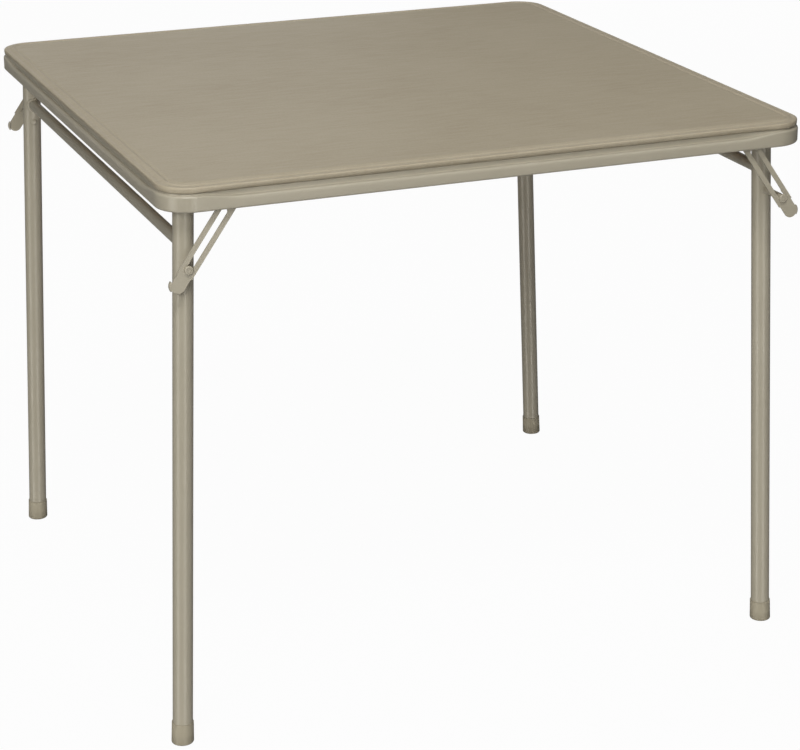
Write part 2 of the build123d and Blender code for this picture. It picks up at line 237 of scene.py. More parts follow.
@dataclass(frozen=True)
class EmbossedVinyl:
    """Vinyl cloth, calendered and embossed with a leather grain: matt, softly mottled, faintly streaked.

    The grain is drawn coarser than the real 1 mm, so that it shows.
    """

    name: str = "embossed_vinyl_cloth"
    colour: str = "#A59B86"
    valley_colour: str = "#998E78"
    grain_mm: float = 2.6
    grain_depth_mm: float = 0.12
    grain_strength: float = 0.5
    grain_share: float = 0.35
    mottle_range: tuple[float, float] = (0.15, 0.65)
    streak_length_mm: float = 38.0
    streak_width_mm: float = 4.2
    streak_share: float = 0.5
    cloud_mm: float = 160.0
    roughness_range: tuple[float, float] = (0.44, 0.58)
    ior: float = 1.5

    def material(self) -> bpy.types.Material:
        """Makes the vinyl's material.

        Returns:
            The material.
        """
        material, tree, place = new_material(self.name)
        grain = add_node(
            tree,
            "ShaderNodeTexVoronoi",
            {"Vector": place, "Scale": per_mm(self.grain_mm), "Randomness": 1.0},
            feature="SMOOTH_F1",
        ).outputs["Distance"]
        drawn = add_node(
            tree,
            "ShaderNodeMapping",
            {"Vector": place, "Scale": (per_mm(self.streak_length_mm), per_mm(self.streak_width_mm), 1.0)},
        ).outputs[0]
        streaks = add_node(
            tree, "ShaderNodeTexNoise", {"Vector": drawn, "Scale": 1.0, "Detail": 4.0}
        ).outputs["Fac"]
        clouds = add_node(
            tree, "ShaderNodeTexNoise", {"Vector": place, "Scale": per_mm(self.cloud_mm), "Detail": 2.0}
        ).outputs["Fac"]
        soft = add_node(tree, "ShaderNodeMath", {0: streaks, 1: clouds}, operation="MULTIPLY").outputs[0]
        mottle = add_node(
            tree, "ShaderNodeMath", {0: grain, 1: self.grain_share, 2: soft}, operation="MULTIPLY_ADD"
        ).outputs[0]
        spread = add_node(
            tree, "ShaderNodeMapRange", {"Value": mottle, **span("From", self.mottle_range)}
        ).outputs[0]
        gloss = add_node(
            tree, "ShaderNodeMapRange", {"Value": streaks, **span("To", self.roughness_range)}
        ).outputs[0]
        height = add_node(
            tree, "ShaderNodeMath", {0: streaks, 1: self.streak_share, 2: grain}, operation="MULTIPLY_ADD"
        ).outputs[0]
        colours = (self.colour, self.valley_colour)
        relief = {"Height": height, "Strength": self.grain_strength, "Distance": self.grain_depth_mm * MM}
        finish_material(tree, spread, colours, relief, {"Roughness": gloss, "IOR": self.ior}, invert=True)
        return material


@dataclass(frozen=True)
class MouldedTip:
    """Injection-moulded polyethylene: waxy, with a spark-eroded texture, darker in patches towards the floor.

    The texture is drawn coarser than the real one, so that it shows.
    """

    name: str = "moulded_polyethylene"
    colour: str = "#98907C"
    floor_end_colour: str = "#827A67"
    texture_mm: float = 1.4
    texture_depth_mm: float = 0.08
    texture_strength: float = 0.4
    darkening_top_mm: float = 9.0
    darkening_share: float = 0.8
    roughness_range: tuple[float, float] = (0.42, 0.60)
    ior: float = 1.5

    def material(self) -> bpy.types.Material:
        """Makes the leg tip's material.

        Returns:
            The material.
        """
        material, tree, place = new_material(self.name)
        pits = add_node(
            tree, "ShaderNodeTexNoise", {"Vector": place, "Scale": per_mm(self.texture_mm), "Detail": 2.0}
        ).outputs["Fac"]
        level = add_node(tree, "ShaderNodeSeparateXYZ", {0: place}).outputs[2]
        # Darker in patches over the lowest few millimetres, towards the floor.
        toward_floor = add_node(
            tree,
            "ShaderNodeMapRange",
            {"Value": level, **span("From", (self.darkening_top_mm * MM, 0.0)), "To Max": self.darkening_share},
        ).outputs[0]
        floor_patches = add_node(tree, "ShaderNodeMath", {0: toward_floor, 1: pits}, operation="MULTIPLY").outputs[0]
        gloss = add_node(
            tree, "ShaderNodeMapRange", {"Value": pits, **span("To", self.roughness_range)}
        ).outputs[0]
        colours = (self.colour, self.floor_end_colour)
        relief = {"Height": pits, "Strength": self.texture_strength, "Distance": self.texture_depth_mm * MM}
        finish_material(tree, floor_patches, colours, relief, {"Roughness": gloss, "IOR": self.ior})
        return material


@dataclass(frozen=True)
class ZincPlate:
    """Bright zinc plating on pins and screws: a cool dull metal with fine spangles and handling marks."""

    name: str = "zinc_plated_steel"
    colour: str = "#B9B8B2"
    dull_colour: str = "#9C9A92"
    spangle_mm: float = 1.2
    mark_mm: float = 4.0
    mark_depth_mm: float = 0.03
    mark_strength: float = 0.3
    roughness_range: tuple[float, float] = (0.24, 0.49)

    def material(self) -> bpy.types.Material:
        """Makes the zinc's material.

        Returns:
            The material.
        """
        material, tree, place = new_material(self.name)
        spangles = add_node(
            tree, "ShaderNodeTexVoronoi", {"Vector": place, "Scale": per_mm(self.spangle_mm)}
        ).outputs["Color"]
        marks = add_node(
            tree, "ShaderNodeTexNoise", {"Vector": place, "Scale": per_mm(self.mark_mm), "Detail": 4.0}
        ).outputs["Fac"]
        grey = add_node(tree, "ShaderNodeSeparateColor", {0: spangles}).outputs[0]
        gloss = add_node(
            tree, "ShaderNodeMapRange", {"Value": marks, **span("To", self.roughness_range)}
        ).outputs[0]
        colours = (self.colour, self.dull_colour)
        relief = {"Height": marks, "Strength": self.mark_strength, "Distance": self.mark_depth_mm * MM}
        finish_material(tree, grey, colours, relief, {"Roughness": gloss, "Metallic": 1.0})
        return material


@dataclass(frozen=True)
class PressedBoard:
    """Hardboard: wood fibre pressed to a hard brown sheet, with dark and pale fibres and a slight sheen."""

    name: str = "pressed_hardboard"
    colour: str = "#6E5138"
    fibre_colour: str = "#8A6C4C"
    fibre_length_mm: float = 9.0
    fibre_width_mm: float = 1.4
    fibre_depth_mm: float = 0.08
    fibre_strength: float = 0.4
    cloud_mm: float = 120.0
    cloud_share: float = 0.6
    tone_range: tuple[float, float] = (0.6, 1.15)
    roughness: float = 0.6

    def material(self) -> bpy.types.Material:
        """Makes the hardboard's material.

        Returns:
            The material.
        """
        material, tree, place = new_material(self.name)
        length, width = per_mm(self.fibre_length_mm), per_mm(self.fibre_width_mm)
        layers = []
        for scale in ((length, width, 1.0), (width, length, 1.0)):
            drawn = add_node(tree, "ShaderNodeMapping", {"Vector": place, "Scale": scale}).outputs[0]
            layer = add_node(tree, "ShaderNodeTexNoise", {"Vector": drawn, "Scale": 1.0, "Detail": 5.0})
            layers.append(layer.outputs["Fac"])
        clouds = add_node(
            tree, "ShaderNodeTexNoise", {"Vector": place, "Scale": per_mm(self.cloud_mm), "Detail": 3.0}
        ).outputs["Fac"]
        fibres = add_node(
            tree, "ShaderNodeMath", {0: layers[0], 1: layers[1]}, operation="MAXIMUM"
        ).outputs[0]
        mixed = add_node(
            tree, "ShaderNodeMath", {0: clouds, 1: self.cloud_share, 2: fibres}, operation="MULTIPLY_ADD"
        ).outputs[0]
        spread = add_node(
            tree, "ShaderNodeMapRange", {"Value": mixed, **span("From", self.tone_range)}
        ).outputs[0]
        colours = (self.colour, self.fibre_colour)
        relief = {"Height": fibres, "Strength": self.fibre_strength, "Distance": self.fibre_depth_mm * MM}
        finish_material(tree, spread, colours, relief, {"Roughness": self.roughness})
        return material


@dataclass(frozen=True)
class FoamSheet:
    """Slabstock polyurethane foam: pale open cells, quite matt."""

    name: str = "polyurethane_foam"
    colour: str = "#DDCFA4"
    cell_colour: str = "#B5A67C"
    cell_mm: float = 1.5
    cell_depth_mm: float = 0.3
    cell_strength: float = 0.6
    roughness: float = 0.9

    def material(self) -> bpy.types.Material:
        """Makes the foam's material.

        Returns:
            The material.
        """
        material, tree, place = new_material(self.name)
        cells = add_node(
            tree, "ShaderNodeTexVoronoi", {"Vector": place, "Scale": per_mm(self.cell_mm)}
        ).outputs["Distance"]
        colours = (self.cell_colour, self.colour)
        relief = {"Height": cells, "Strength": self.cell_strength, "Distance": self.cell_depth_mm * MM}
        finish_material(tree, cells, colours, relief, {"Roughness": self.roughness})
        return material


@dataclass
class Finishes:
    """Every material of the table, made once."""

    enamel: bpy.types.Material
    vinyl: bpy.types.Material
    tip: bpy.types.Material
    zinc: bpy.types.Material
    board: bpy.types.Material
    foam: bpy.types.Material

    @classmethod
    def make(cls) -> Finishes:
        """Makes the materials from their finishes.

        Returns:
            The materials.
        """
        return cls(
            enamel=BakedEnamel().material(),
            vinyl=EmbossedVinyl().material(),
            tip=MouldedTip().material(),
            zinc=ZincPlate().material(),
            board=PressedBoard().material(),
            foam=FoamSheet().material(),
        )


def dress(nodes: dict[str, bpy.types.Object], names: Iterable[str], material: bpy.types.Material) -> None:
    """Gives CAD nodes their material.

    Args:
        nodes: CAD nodes by name.
        names: Names of the nodes to dress.
        material: Material they get.
    """
    for name in names:
        nodes[name].data.materials.clear()
        nodes[name].data.materials.append(material)
        LOG.info("dressed %s in %s", name, material.name)


def finished_piece(
    name: str,
    mesh: bmesh.types.BMesh,
    material: bpy.types.Material,
    body: str,
    smooth_deg: float = 40.0,
) -> bpy.types.Object:
    """Turns a bmesh into a piece at the origin, shaded, dressed and riding on its body.

    Args:
        name: Name of the piece.
        mesh: Its bmesh, in the table's frame. It is freed.
        material: Material it gets.
        body: CAD body it rides on.
        smooth_deg: Edges sharper than this stay sharp.

    Returns:
        The piece.
    """
    data = bpy.data.meshes.new(name)
    mesh.to_mesh(data)
    mesh.free()
    for face in data.polygons:
        face.use_smooth = True
    data.set_sharp_from_angle(angle=math.radians(smooth_deg))
    data.materials.append(material)
    piece = bpy.data.objects.new(name, data)
    bpy.context.scene.collection.objects.link(piece)
    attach(piece, body)
    LOG.info("built %s with %d faces, riding on %s", name, len(data.polygons), body)
    return piece


def thicken(piece: bpy.types.Object, thickness: float) -> None:
    """Gives a piece that is an outer face its thickness, inwards."""
    wall = piece.modifiers.new("wall", "SOLIDIFY")
    wall.thickness = thickness
    wall.offset = -1


def arc_points(
    centre: tuple[float, float], radii: tuple[float, float], start_deg: float, end_deg: float, steps: int
) -> list[tuple[float, float]]:
    """Points of an arc of an upright ellipse.

    Args:
        centre: Its centre.
        radii: Its two radii.
        start_deg: Angle of the first point.
        end_deg: Angle of the last point.
        steps: Number of steps between them.

    Returns:
        The points.
    """
    angles = [math.radians(start_deg + (end_deg - start_deg) * step / steps) for step in range(steps + 1)]
    return [(centre[0] + radii[0] * math.cos(a), centre[1] + radii[1] * math.sin(a)) for a in angles]


@dataclass(frozen=True)
class RoundedSquare:
    """A square outline with rounded corners, along which a section is swept."""

    half_side: float
    corner: float
    corner_steps: int = 36
    side_steps: int = 44

    def sweep(self, section: list[tuple[float, float]]) -> bmesh.types.BMesh:
        """Sweeps a section: spun round one corner, drawn along half of its two sides and mirrored.

        Args:
            section: Pairs of inset from the outline and height.

        Returns:
            The bmesh, whose vertices hold their number in the section in the layer "station".
        """
        mesh = bmesh.new()
        station = mesh.verts.layers.int.new("station")
        centre = self.half_side - self.corner
        stride = -centre / self.side_steps
        strip = [mesh.verts.new((self.half_side - inset, centre, z)) for inset, z in section]
        for number, vertex in enumerate(strip):
            vertex[station] = number
        for lower, upper in zip(strip, strip[1:]):
            mesh.edges.new((lower, upper))
        start = [*mesh.verts, *mesh.edges]
        turned = bmesh.ops.spin(
            mesh,
            geom=start,
            cent=(centre, centre, 0),
            axis=(0, 0, 1),
            angle=math.pi / 2,
            steps=self.corner_steps,
        )["geom_last"]
        for geometry, step in ((start, (0, stride, 0)), (turned, (stride, 0, 0))):
            bmesh.ops.spin(
                mesh, geom=geometry, axis=(0, 0, 1), angle=0.0, dvec=step, steps=self.side_steps
            )
        for axis in ("X", "Y"):
            whole = [*mesh.verts, *mesh.edges, *mesh.faces]
            bmesh.ops.mirror(mesh, geom=whole, axis=axis, merge_dist=MERGE)
        bmesh.ops.remove_doubles(mesh, verts=mesh.verts, dist=MERGE)
        return mesh

    def inset(self, point: Vector) -> float:
        """Distance of a point inside the outline, in metres."""
        over = Vector((abs(point.x), abs(point.y))) - Vector((1, 1)) * (self.half_side - self.corner)
        outside = Vector((max(over.x, 0.0), max(over.y, 0.0))).length
        return self.corner - outside - min(max(over.x, over.y), 0.0)

    def corner_share(self, point: Vector, length: float) -> float:
        """1 round the corners, falling smoothly to 0 over a length of the straight sides."""
        along = self.half_side - self.corner - min(abs(point.x), abs(point.y))
        share = min(1.0, max(0.0, 1 - along / length))
        return share * share * (3 - 2 * share)


@dataclass
class PaddedTop:
    """The padded panel: hardboard, foam sheet and the vinyl drawn over them and turned under the edge.

    Its outside sizes come from the CAD cover, and the board's and the vinyl's thickness from the board.
    Sag, pucker, droop and gather are depths, a wave is the length of the noise that varies one, and a
    bias is what is added to that noise or taken off. The puckers' place and spread are shares of the
    seal's inset.
    """

    corner: float = 40.5 * MM
    crown_drop: float = 1.5 * MM
    crown_width: float = 12.0 * MM
    turn_under: float = 14.0 * MM
    turn_share: float = 0.6
    upper_radius: float = 1.3 * MM
    lower_depth: float = 5.0 * MM
    seal_inset: float = 16.0 * MM
    rings: int = 22
    board_edge: float = 3.6 * MM
    board_edge_steps: int = 4
    foam_gap: float = 0.5 * MM
    sag: float = 0.3 * MM
    sag_bias: float = 0.4
    sag_reach: float = 48.0 * MM
    sag_wave: float = 130.0 * MM
    pucker: float = 0.25 * MM
    pucker_bias: float = 0.3
    pucker_place: float = 0.7
    pucker_spread: float = 0.6
    pucker_wave: float = 22.0 * MM
    droop: float = 1.7 * MM
    droop_reach: float = 3.3 * MM
    droop_length: float = 45.0 * MM
    gather: float = 0.45 * MM
    gather_bias: float = 0.8
    gather_share: float = 0.3
    gather_wave: float = 5.0 * MM
    outline: RoundedSquare = field(init=False)
    underside: float = field(init=False)
    height: float = field(init=False)
    skin: float = field(init=False)
    board: float = field(init=False)

    def __post_init__(self) -> None:
        """Takes the outside sizes and the thicknesses from the frame."""
        low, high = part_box("vinyl_cover")
        board_low, board_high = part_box("top_board")
        self.outline = RoundedSquare(high.x, self.corner)
        self.underside = low.z
        self.height = high.z - low.z
        self.skin = board_low.z - low.z
        self.board = board_high.z - board_low.z

    def build(self, nodes: dict[str, bpy.types.Object], finishes: Finishes) -> None:
        """Builds the board, the cover and the foam in place of their CAD nodes.

        Args:
            nodes: CAD nodes by name; not used here.
            finishes: The table's materials.
        """
        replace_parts(self._board(finishes.board), "top_board")
        cover = self._cover(finishes.vinyl)
        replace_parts(cover, "vinyl_cover")
        foam = self._foam(finishes.foam)
        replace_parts(foam, "foam_pad")

    def _profile(self) -> list[tuple[float, float]]:
        """Section of the cover's border: turned under, round the edge, over the ridges and the sealed line.

        Returns:
            Pairs of inset from the outer face and height over the panel's underside.
        """
        bend = self.upper_radius
        edge = self.height - self.crown_drop
        under_edge = (self.lower_depth, edge - bend)  # Centre and radii alike of a quarter ellipse.
        lower = arc_points(under_edge, under_edge, 270, 180, steps=6)
        upper = arc_points((bend, edge - bend), (bend, bend), 180, 90, steps=4)
        border = [(share * self.seal_inset, edge + rise * self.crown_drop) for share, rise in BORDER_SHARES]
        return [(self.turn_under, 0.0), (self.turn_share * self.turn_under, 0.0), *lower, *upper[1:], *border]

    def _cover(self, material: bpy.types.Material) -> bpy.types.Object:
        """Makes the vinyl cover: the border swept round, its upper side closed by shrinking rings.

        Args:
            material: The vinyl.

        Returns:
            The cover.
        """
        mesh = self.outline.sweep([(inset, self.underside + z) for inset, z in self._profile()])
        middle_height = self.underside + self.height / 2
        loop = [e for e in mesh.edges if e.is_boundary and e.verts[0].co.z > middle_height]
        face = bmesh.ops.edgeloop_fill(mesh, edges=loop)["faces"][0]
        for ring in range(self.rings):
            inner = bmesh.ops.extrude_face_region(mesh, geom=[face])["geom"]
            if face.is_valid:
                bmesh.ops.delete(mesh, geom=[face], context="FACES_ONLY")
            face = next(g for g in inner if isinstance(g, bmesh.types.BMFace))
            # The rings are of one width, and the face left in the middle is as wide as one.
            share = (self.rings - ring - 0.5) / (self.rings - ring + 0.5)
            bmesh.ops.scale(mesh, vec=(share, share, 1), verts=face.verts)
        self._relax(mesh)
        bmesh.ops.recalc_face_normals(mesh, faces=mesh.faces)
        cover = finished_piece("padded_cover", mesh, material, "tabletop")
        thicken(cover, self.skin)
        return cover

    def _relax(self, mesh: bmesh.types.BMesh) -> None:
        """Lets the drawn vinyl sag and pucker on top, and hang in small gathers under the corners.

        Args:
            mesh: The cover's bmesh.
        """
        edge = self.underside + self.height - self.crown_drop
        for vertex in mesh.verts:
            inset = self.outline.inset(vertex.co)
            if vertex.co.z >= edge - MERGE:
                inside = min(1.0, max(0.0, inset / self.sag_reach))
                off_seal = (inset / self.seal_inset - self.pucker_place) / self.pucker_spread
                broad = noise.noise(vertex.co / self.sag_wave) - self.sag_bias
                short = noise.noise(vertex.co / self.pucker_wave) - self.pucker_bias
                vertex.co.z += self.sag * inside * broad + self.pucker * math.exp(-(off_seal**2)) * short
            elif inset < self.droop_reach:
                near_corner = self.outline.corner_share(vertex.co, self.droop_length)
                outer = 1 - (inset / self.droop_reach) ** 2
                folds = noise.noise(vertex.co / self.gather_wave)
                away = Vector((vertex.co.x, vertex.co.y, 0)).normalized()
                hang = near_corner * min(1.0, (edge - vertex.co.z) / (self.height / 2))
                vertex.co += away * hang * self.gather * (self.gather_bias + folds)
                vertex.co.z -= self.droop * hang * outer * (1 + self.gather_share * folds)

    def _sheet(
        self, half_side: float, corner: float, bottom: float, thickness: float
    ) -> tuple[bmesh.types.BMesh, list[bmesh.types.BMFace]]:
        """Makes a flat sheet with rounded corners.

        Args:
            half_side: Half its side.
            corner: Its corner radius.
            bottom: Height of its underside.
            thickness: Its thickness.

        Returns:
            The bmesh and its upper face in a list.
        """
        mesh = bmesh.new()
        bmesh.ops.create_grid(mesh, x_segments=1, y_segments=1, size=half_side)
        bmesh.ops.bevel(
            mesh,
            geom=mesh.verts[:],
            offset=corner,
            offset_type="OFFSET",
            segments=self.outline.corner_steps,
            profile=0.5,
            affect="VERTICES",
            material=-1,
        )
        bmesh.ops.translate(mesh, verts=mesh.verts, vec=(0, 0, bottom))
        raised = bmesh.ops.extrude_face_region(mesh, geom=mesh.faces[:], use_keep_orig=True)["geom"]
        upper = [g for g in raised if isinstance(g, bmesh.types.BMVert)]
        bmesh.ops.translate(mesh, verts=upper, vec=(0, 0, thickness))
        return mesh, [g for g in raised if isinstance(g, bmesh.types.BMFace)]

    def _board(self, material: bpy.types.Material) -> bpy.types.Object:
        """Makes the hardboard, its lower edge eased where the vinyl turns under it.

        Args:
            material: The hardboard.

        Returns:
            The board.
        """
        bottom = self.underside + self.skin
        mesh, _ = self._sheet(self.outline.half_side - self.skin, self.corner - self.skin, bottom, self.board)
        low = [e for e in mesh.edges if max(v.co.z for v in e.verts) < bottom + self.board / 2]
        bmesh.ops.bevel(
            mesh,
            geom=low,
            offset=self.board_edge,
            offset_type="OFFSET",
            segments=self.board_edge_steps,
            profile=0.5,
            affect="EDGES",
            material=-1,
        )
        bmesh.ops.recalc_face_normals(mesh, faces=mesh.faces)
        return finished_piece("hardboard_panel", mesh, material, "tabletop", smooth_deg=30.0)

    def _foam(self, material: bpy.types.Material) -> bpy.types.Object:
        """Makes the foam sheet under the cover, closed and crowned.

        Args:
            material: The foam.

        Returns:
            The foam sheet.
        """
        half_side = self.outline.half_side - self.skin - self.foam_gap
        bottom = self.underside + self.skin + self.board
        edge = self.height - 2 * self.skin - self.board - self.crown_drop - self.foam_gap
        mesh, crown = self._sheet(half_side, self.corner, bottom, edge)
        bmesh.ops.inset_region(mesh, faces=crown, thickness=self.crown_width, depth=self.crown_drop)
        bmesh.ops.recalc_face_normals(mesh, faces=mesh.faces)
        return finished_piece("foam_sheet", mesh, material, "tabletop", smooth_deg=20.0)


@dataclass(frozen=True)
class RimSection:
    """Outer face of the rim's rolled sheet, as insets from its side wall and heights under its top."""

    flange_inset: float
    cove_centre: tuple[float, float]
    cove_radius: float
    cove_end_deg: float
    shoulder_centre: tuple[float, float]
    shoulder_height: float
    shoulder_start_deg: float
    flange_reach: float = 18.0 * MM
    lip_radius: float = 1.3 * MM
    height: float = 22.5 * MM
    bottom_radius: float = 2.8 * MM
    bottom_reach: float = 7.0 * MM
    curl_radius: float = 1.4 * MM
    curl_height: float = 3.0 * MM

    def points(self) -> list[tuple[float, float]]:
        """Points from the top flange over the lip, cove, shoulder and wall to the curl under the edge.

        Returns:
            Pairs of inset and height, as many for every section.
        """
        lip_centre = (self.flange_inset + self.lip_radius, -self.lip_radius)
        lip = arc_points(lip_centre, (self.lip_radius, self.lip_radius), 90, 180, steps=3)
        cove = arc_points(
            self.cove_centre, (self.cove_radius, self.cove_radius), 0, self.cove_end_deg, steps=4
        )
        shoulder_radii = (self.shoulder_centre[0], self.shoulder_height)
        shoulder = arc_points(self.shoulder_centre, shoulder_radii, self.shoulder_start_deg, 180, steps=9)
        bottom_centre = (self.bottom_radius, self.bottom_radius - self.height)
        bottom = arc_points(bottom_centre, (self.bottom_radius, self.bottom_radius), 180, 270, steps=5)
        curl_centre = (self.bottom_reach - self.curl_radius, self.curl_radius - self.height)
        curl = arc_points(curl_centre, (self.curl_radius, self.curl_radius), 270, 360, steps=3)
        end = (self.bottom_reach, self.curl_height - self.height)
        return [(self.flange_reach, 0.0), *lip, *cove, *shoulder, *bottom, *curl, end]


@dataclass
class RimAndFixings:
    """The roll-formed rim with its screws, leg brackets, pins and brace pins.

    The cove under the pad is rolled deep and round along the sides and runs out towards each corner.
    """

    corner: float = 42.0 * MM
    sheet: float = 1.0 * MM
    run_out: float = 54.0 * MM
    side_section: RimSection = RimSection(
        flange_inset=6.0 * MM,
        cove_centre=(4.8 * MM, -5.8 * MM),
        cove_radius=1.2 * MM,
        cove_end_deg=-88.0,
        shoulder_centre=(4.5 * MM, -12.0 * MM),
        shoulder_height=5.0 * MM,
        shoulder_start_deg=91.0,
    )
    corner_section: RimSection = RimSection(
        flange_inset=3.4 * MM,
        cove_centre=(2.4 * MM, -1.4 * MM),
        cove_radius=1.0 * MM,
        cove_end_deg=-59.0,
        shoulder_centre=(2.6 * MM, -5.2 * MM),
        shoulder_height=2.6 * MM,
        shoulder_start_deg=121.0,
    )

    def build(self, nodes: dict[str, bpy.types.Object], finishes: Finishes) -> None:
        """Builds the rim in place of its CAD node and dresses what is fixed to it.

        Args:
            nodes: CAD nodes by name.
            finishes: The table's materials.
        """
        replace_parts(self._rim(finishes.enamel), "rim_frame")
        for corner in Corner:
            dress(nodes, [f"leg_bracket_{corner.value}", f"brace_pivot_{corner.value}"], finishes.enamel)
            dress(nodes, [f"leg_pivot_pin_{corner.value}"], finishes.zinc)
        dress(nodes, ["panel_screws"], finishes.zinc)

    def _rim(self, material: bpy.types.Material) -> bpy.types.Object:
        """Makes the rim, its corner section blended into the deeper section of the sides.

        Args:
            material: The enamel.

        Returns:
            The rim.
        """
        _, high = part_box("rim_frame")
        outline = RoundedSquare(high.x, self.corner)
        at_corner = [Vector(point) for point in self.corner_section.points()]
        at_side = [Vector(point) for point in self.side_section.points()]
        mesh = outline.sweep([(inset, high.z + z) for inset, z in at_corner])
        station = mesh.verts.layers.int["station"]
        for vertex in mesh.verts:
            number = vertex[station]
            share = 1 - outline.corner_share(vertex.co, self.run_out)
            inward, rise = (at_side[number] - at_corner[number]) * share
            axis = 0 if abs(vertex.co.x) > abs(vertex.co.y) else 1
            vertex.co[axis] -= math.copysign(inward, vertex.co[axis])
            vertex.co.z += rise
        bmesh.ops.recalc_face_normals(mesh, faces=mesh.faces)
        rim = finished_piece("rolled_rim", mesh, material, "tabletop")
        thicken(rim, self.sheet)
        return rim


@dataclass(frozen=True)
class WeldBead:
    """A weld bead round a tube or spacer where it meets a leg, following the leg's round side."""

    branch_radius: float
    bead_radius: float = 2.1 * MM
    stand_off_share: float = 0.3
    wrap_share: float = 0.96
    ripple: float = 0.6 * MM
    ripple_wave: float = 2.6 * MM
    ripple_shift: float = 7.0
    ripple_share: float = 0.5
    steps: int = 56
    bead_sides: int = 8

    def build(
        self, name: str, root: Vector, branch: Vector, leg: Vector, material: bpy.types.Material, body: str
    ) -> None:
        """Builds the bead.

        Args:
            name: Name of the piece.
            root: Point where the branch's centre line meets the leg's.
            branch: Direction of the branch, away from the leg.
            leg: Direction of the leg.
            material: Material of the bead.
            body: Body it rides on.
        """
        mesh = bmesh.new()
        bmesh.ops.create_circle(mesh, segments=self.bead_sides, radius=self.bead_radius)
        ring_radius = self.branch_radius + self.stand_off_share * self.bead_radius
        bmesh.ops.translate(mesh, verts=mesh.verts, vec=(ring_radius, 0, 0))
        bmesh.ops.spin(
            mesh,
            geom=[*mesh.verts, *mesh.edges],
            cent=(0, 0, 0),
            axis=(0, 1, 0),
            angle=2 * math.pi,
            steps=self.steps,
            use_merge=True,
        )
        bmesh.ops.remove_doubles(mesh, verts=mesh.verts, dist=MERGE)
        for vertex in mesh.verts:
            across = min(abs(vertex.co.x), self.wrap_share * TUBE_RADIUS)
            lumps = self.ripple * noise.noise((vertex.co + root * self.ripple_shift) / self.ripple_wave)
            away = Vector((vertex.co.x, 0, vertex.co.z)).normalized()
            vertex.co += away * lumps
            vertex.co.y += math.sqrt(TUBE_RADIUS**2 - across**2) + self.ripple_share * lumps
        along = branch.normalized()
        up = (leg - leg.dot(along) * along).normalized()
        side = along.cross(up)
        place = Matrix((side, along, up)).transposed().to_4x4()
        place.translation = root
        bmesh.ops.transform(mesh, matrix=place, verts=mesh.verts)
        bmesh.ops.recalc_face_normals(mesh, faces=mesh.faces)
        finished_piece(name, mesh, material, body, smooth_deg=60.0)


@dataclass
class LegFrames:
    """The two folding leg frames: tubes, crossbars, spacers and tips, with their welds and rivet ends."""

    splay: Vector = Vector((28.0, 6.0)) * MM
    crossbar_weld: WeldBead = WeldBead(branch_radius=7.5 * MM)
    spacer_weld: WeldBead = WeldBead(branch_radius=4.5 * MM, bead_radius=1.1 * MM, steps=40)
    rivet_radius: float = 4.5 * MM
    rivet_rise: float = 1.9 * MM

    def axis_point(self, corner: Corner, height: float) -> Vector:
        """Point of a leg's centre line, which runs from its pivot pin outwards to the floor.

        Args:
            corner: Which leg.
            height: Height of the point.

        Returns:
            The point, in the table's frame.
        """
        pivot = middle(f"leg_pivot_pin_{corner.value}")
        share = 1 - height / pivot.z
        x = pivot.x + corner.side * self.splay.x * share
        y = pivot.y + corner.end * self.splay.y * share
        return Vector((x, y, height))

    def build(self, nodes: dict[str, bpy.types.Object], finishes: Finishes) -> None:
        """Dresses the frames and adds their weld beads and rivet ends.

        Args:
            nodes: CAD nodes by name.
            finishes: The table's materials.
        """
        for corner in Corner:
            dress(nodes, [f"leg_{corner.value}", f"stud_spacer_{corner.value}"], finishes.enamel)
            dress(nodes, [f"leg_tip_{corner.value}"], finishes.tip)
            leg = middle(f"leg_pivot_pin_{corner.value}") - self.axis_point(corner, 0.0)
            inward = Vector((0, -corner.end, 0))
            crossbar = self.axis_point(corner, middle("crossbar_left").z)
            stud = self.axis_point(corner, middle(f"lock_stud_{corner.value}").z)
            for weld, name, root, branch in (
                (self.crossbar_weld, "crossbar_weld", crossbar, inward),
                (self.spacer_weld, "spacer_weld", stud, -inward),
            ):
                weld.build(
                    f"{name}_{corner.value}", root, branch, leg, finishes.enamel, corner.frame_body
                )
            self._rivet_end(corner, stud + inward * TUBE_RADIUS, finishes.enamel)
        dress(nodes, ["crossbar_left", "crossbar_right"], finishes.enamel)

    def _rivet_end(self, corner: Corner, place: Vector, material: bpy.types.Material) -> None:
        """Adds the peened end of the lock stud's rivet on the leg's inboard side.

        Args:
            corner: Which leg.
            place: Point of the leg's side where the rivet comes through.
            material: The enamel.
        """
        mesh = bmesh.new()
        bmesh.ops.create_uvsphere(mesh, u_segments=32, v_segments=16, radius=self.rivet_radius)
        flat = Vector((1.0, self.rivet_rise / self.rivet_radius, 1.0))
        bmesh.ops.scale(mesh, vec=flat, verts=mesh.verts)
        bmesh.ops.translate(mesh, verts=mesh.verts, vec=place)
        name = f"stud_rivet_{corner.value}"
        finished_piece(name, mesh, material, corner.frame_body, smooth_deg=60.0)


@dataclass
class LockingBraces:
    """The slotted braces and the headed studs that lock in them."""

    def build(self, nodes: dict[str, bpy.types.Object], finishes: Finishes) -> None:
        """Dresses the braces and studs.

        Args:
            nodes: CAD nodes by name.
            finishes: The table's materials.
        """
        for corner in Corner:
            dress(nodes, [f"brace_link_{corner.value}", f"lock_stud_{corner.value}"], finishes.enamel)


